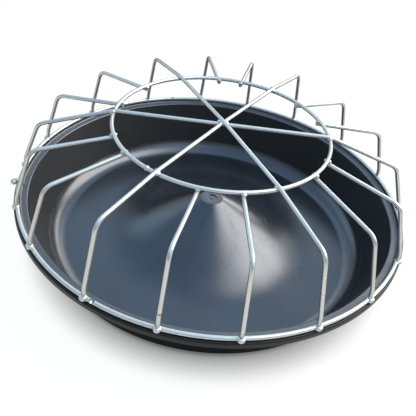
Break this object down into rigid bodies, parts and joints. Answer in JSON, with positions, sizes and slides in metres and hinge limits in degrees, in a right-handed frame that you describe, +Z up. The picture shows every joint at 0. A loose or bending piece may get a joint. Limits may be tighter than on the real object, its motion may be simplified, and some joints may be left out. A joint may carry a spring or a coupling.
{
  "type": "poultry feeder",
  "caption": "Round black feed pan with a flanged, rounded rim and a broad centre cone, under a lift-off domed cage of welded galvanised wire with head gaps all round.",
  "frame": {"origin": "middle of the pan's underside, on the ground", "axes": "+Z up through the cone's middle, +X to the picture's right, +Y away from the picture's front"},
  "size_m": [0.4101, 0.4072, 0.1478],
  "materials": {
    "pan_plastic": "moulded black plastic with a soft sheen",
    "galvanised_wire": "bright galvanised round wire"
  },
  "bodies": {
    "pan": {"pan": "pan_plastic"},
    "cage": {"outer_ring": "galvanised_wire", "inner_ring": "galvanised_wire", "long_wire_low": "galvanised_wire", "long_wire_middle": "galvanised_wire", "long_wire_top": "galvanised_wire", "short_spoke_01": "galvanised_wire", "short_spoke_02": "galvanised_wire", "short_spoke_03": "galvanised_wire", "short_spoke_04": "galvanised_wire", "short_spoke_05": "galvanised_wire", "short_spoke_06": "galvanised_wire", "short_spoke_07": "galvanised_wire", "short_spoke_08": "galvanised_wire", "short_spoke_09": "galvanised_wire", "short_spoke_10": "galvanised_wire", "short_spoke_11": "galvanised_wire", "short_spoke_12": "galvanised_wire", "rim_clip": "galvanised_wire"}
  },
  "joints": [
    {"name": "cage_lift", "type": "slide", "parent": "pan", "child": "cage", "axis": [0, 0, 1], "range_m": [0, 0.12]}
  ]
}
